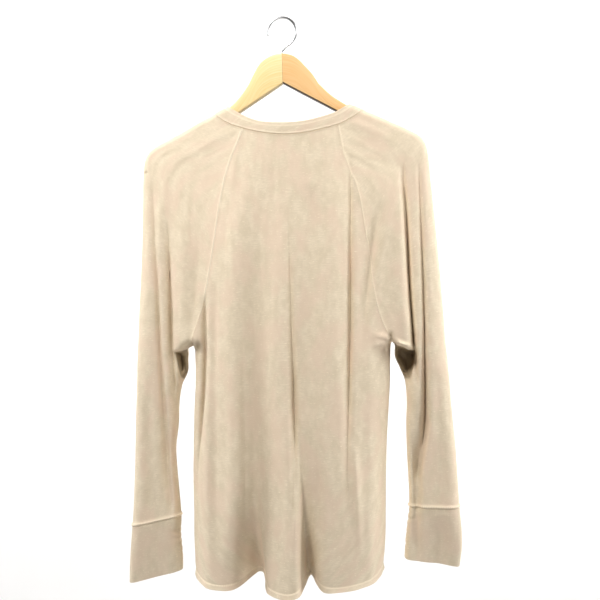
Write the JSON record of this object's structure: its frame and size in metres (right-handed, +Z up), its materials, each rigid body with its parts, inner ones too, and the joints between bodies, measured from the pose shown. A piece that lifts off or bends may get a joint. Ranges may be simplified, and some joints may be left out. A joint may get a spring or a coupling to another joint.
{
  "type": "thermal base layer top",
  "caption": "Long-sleeved raglan thermal top of fine rib knit with a crew neckband, deep cuffs and a wavy hem, hanging from a contoured wooden hanger with a wire hook.",
  "frame": {"origin": "the highest point of the hook's inner face, where it bears on the rail or rod that holds the hanger", "axes": "+Z up, +X towards the wearer's right and along the hanger, -Y the way the garment's back faces and +Y the way its front faces"},
  "size_m": [0.5288, 0.1393, 0.8798],
  "materials": {
    "knit": "matt fine rib knit, heathered cream",
    "rib": "matt doubled rib knit, heathered cream",
    "wood_light": "clear satin varnish",
    "wood_warm": "clear satin varnish",
    "hook_steel": "polished"
  },
  "bodies": {
    "root": {"back": "knit", "front": "knit", "sleeve_left": "knit", "sleeve_right": "knit", "cuff_left": "rib", "cuff_right": "rib", "neckband": "rib", "hanger_arm_left": "wood_light", "hanger_arm_right": "wood_warm", "hook": "hook_steel"}
  },
  "joints": []
}
